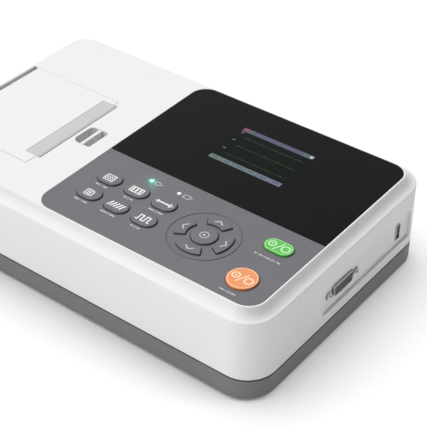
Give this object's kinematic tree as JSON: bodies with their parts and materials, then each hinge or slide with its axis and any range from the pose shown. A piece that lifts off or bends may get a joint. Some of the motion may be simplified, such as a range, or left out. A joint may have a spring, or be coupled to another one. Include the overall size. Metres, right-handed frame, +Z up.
{
  "type": "electrocardiograph recorder",
  "caption": "Tabletop ECG recorder: white case on a dark base, key panel with display at the right, strip printer under a hinged lid at the left.",
  "frame": {"origin": "on the table, under the middle of the case's footprint, in the plane of the feet", "axes": "+X to the user's right, along the case's long side; +Y away from the user; +Z up"},
  "size_m": [0.3334, 0.2102, 0.0766],
  "materials": {
    "white_shell": "fine matt white",
    "grey_shell": "fine matt dark grey",
    "rubber_black": "matt",
    "steel": "satin",
    "zinc_steel": "zinc plated",
    "battery_wrap": "shrink wrap",
    "board_green": "solder mask",
    "board_parts": "moulded",
    "black_plastic": "fine matt",
    "contact_brass": "plated",
    "fascia_grey": "satin film",
    "display_black": "polished black",
    "display_frame": "satin",
    "switch_plastic": "moulded",
    "light_green": "lit",
    "light_white": "lit",
    "frame_plastic": "moulded dark grey",
    "head_ceramic": "glazed",
    "heatsink": "extruded",
    "shield_can": "tinned",
    "bar_grey": "satin light grey",
    "platen_rubber": "ground matt",
    "gear_acetal": "moulded",
    "paper": "coated paper",
    "spindle_grey": "moulded",
    "key_grey": "satin silicone",
    "key_green": "satin silicone",
    "key_orange": "satin silicone"
  },
  "bodies": {
    "case": {"bottom_case": "grey_shell", "top_case": "white_shell", "rubber_feet": "rubber_black", "case_screws": "zinc_steel", "battery_door": "grey_shell", "door_screws": "zinc_steel", "battery_pack": "battery_wrap", "main_board": "board_green", "main_board_parts": "board_parts", "board_screws": "zinc_steel", "power_board": "board_green", "power_board_parts": "board_parts", "mains_inlet": "black_plastic", "mains_pins": "contact_brass", "earth_post": "steel", "keypad_fascia": "fascia_grey", "display_window": "display_black", "display_module": "display_frame", "key_board": "board_green", "key_switches": "switch_plastic", "ready_light": "light_green", "mains_light": "light_white", "paper_tray": "frame_plastic", "thermal_head": "head_ceramic", "head_heatsink": "heatsink", "head_springs": "steel", "stepper_motor": "steel", "gear_stud": "steel", "patient_shell": "steel", "patient_insert": "black_plastic", "jack_screws": "zinc_steel", "front_end_board": "shield_can", "port_shell": "steel", "port_tongue": "black_plastic", "speaker": "black_plastic"},
    "lid": {"printer_lid": "white_shell", "hinge_pins": "steel", "tear_bar": "bar_grey", "platen_bushes": "contact_brass"},
    "platen": {"platen_roller": "platen_rubber", "platen_shaft": "steel", "platen_gear": "gear_acetal"},
    "idler": {"idler_gear": "gear_acetal"},
    "pinion": {"motor_pinion": "contact_brass"},
    "roll": {"paper_roll": "paper", "roll_spindle": "spindle_grey"},
    "latch": {"lid_latch": "white_shell"},
    "fn_key_1": {"fn_key_1": "key_grey"},
    "fn_key_2": {"fn_key_2": "key_grey"},
    "fn_key_3": {"fn_key_3": "key_grey"},
    "fn_key_4": {"fn_key_4": "key_grey"},
    "fn_key_5": {"fn_key_5": "key_grey"},
    "fn_key_6": {"fn_key_6": "key_grey"},
    "arrow_right": {"arrow_right": "key_grey"},
    "arrow_up": {"arrow_up": "key_grey"},
    "arrow_left": {"arrow_left": "key_grey"},
    "arrow_down": {"arrow_down": "key_grey"},
    "ok_key": {"ok_key": "key_grey"},
    "start_key": {"start_key": "key_green"},
    "power_key": {"power_key": "key_orange"}
  },
  "joints": [
    {"name": "lid_hinge", "type": "hinge", "parent": "case", "child": "lid", "pos_m": [-0.1503, -0.0118, 0.0731], "axis": [0, -1, 0], "range_deg": [0, 100]},
    {"name": "platen_spin", "type": "hinge", "parent": "lid", "child": "platen", "pos_m": [-0.075, -0.0118, 0.0651], "axis": [0, 1, 0], "continuous": true},
    {"name": "idler_spin", "type": "hinge", "parent": "case", "child": "idler", "pos_m": [-0.07677, -0.0118, 0.04839], "axis": [0, 1, 0], "continuous": true},
    {"name": "pinion_spin", "type": "hinge", "parent": "case", "child": "pinion", "pos_m": [-0.06393, -0.0118, 0.04065], "axis": [0, 1, 0], "continuous": true},
    {"name": "roll_spin", "type": "hinge", "parent": "case", "child": "roll", "pos_m": [-0.1183, -0.0118, 0.038], "axis": [0, 1, 0], "continuous": true},
    {"name": "latch_slide", "type": "slide", "parent": "case", "child": "latch", "axis": [1, 0, 0], "range_m": [0, 0.0025], "stiffness_N_per_m": 400},
    {"name": "fn_key_1_press", "type": "slide", "parent": "case", "child": "fn_key_1", "axis": [0, 0, -1], "range_m": [0, 0.001], "stiffness_N_per_m": 1500},
    {"name": "fn_key_2_press", "type": "slide", "parent": "case", "child": "fn_key_2", "axis": [0, 0, -1], "range_m": [0, 0.001], "stiffness_N_per_m": 1500},
    {"name": "fn_key_3_press", "type": "slide", "parent": "case", "child": "fn_key_3", "axis": [0, 0, -1], "range_m": [0, 0.001], "stiffness_N_per_m": 1500},
    {"name": "fn_key_4_press", "type": "slide", "parent": "case", "child": "fn_key_4", "axis": [0, 0, -1], "range_m": [0, 0.001], "stiffness_N_per_m": 1500},
    {"name": "fn_key_5_press", "type": "slide", "parent": "case", "child": "fn_key_5", "axis": [0, 0, -1], "range_m": [0, 0.001], "stiffness_N_per_m": 1500},
    {"name": "fn_key_6_press", "type": "slide", "parent": "case", "child": "fn_key_6", "axis": [0, 0, -1], "range_m": [0, 0.001], "stiffness_N_per_m": 1500},
    {"name": "arrow_right_press", "type": "slide", "parent": "case", "child": "arrow_right", "axis": [0, 0, -1], "range_m": [0, 0.001], "stiffness_N_per_m": 1500},
    {"name": "arrow_up_press", "type": "slide", "parent": "case", "child": "arrow_up", "axis": [0, 0, -1], "range_m": [0, 0.001], "stiffness_N_per_m": 1500},
    {"name": "arrow_left_press", "type": "slide", "parent": "case", "child": "arrow_left", "axis": [0, 0, -1], "range_m": [0, 0.001], "stiffness_N_per_m": 1500},
    {"name": "arrow_down_press", "type": "slide", "parent": "case", "child": "arrow_down", "axis": [0, 0, -1], "range_m": [0, 0.001], "stiffness_N_per_m": 1500},
    {"name": "ok_key_press", "type": "slide", "parent": "case", "child": "ok_key", "axis": [0, 0, -1], "range_m": [0, 0.001], "stiffness_N_per_m": 1500},
    {"name": "start_key_press", "type": "slide", "parent": "case", "child": "start_key", "axis": [0, 0, -1], "range_m": [0, 0.001], "stiffness_N_per_m": 1500},
    {"name": "power_key_press", "type": "slide", "parent": "case", "child": "power_key", "axis": [0, 0, -1], "range_m": [0, 0.001], "stiffness_N_per_m": 1500}
  ],
  "couplings": [
    {"joint": "idler_spin", "follows": "platen_spin", "ratio": -0.55556},
    {"joint": "pinion_spin", "follows": "platen_spin", "ratio": 1.4286},
    {"joint": "roll_spin", "follows": "platen_spin", "ratio": -0.32558}
  ]
}
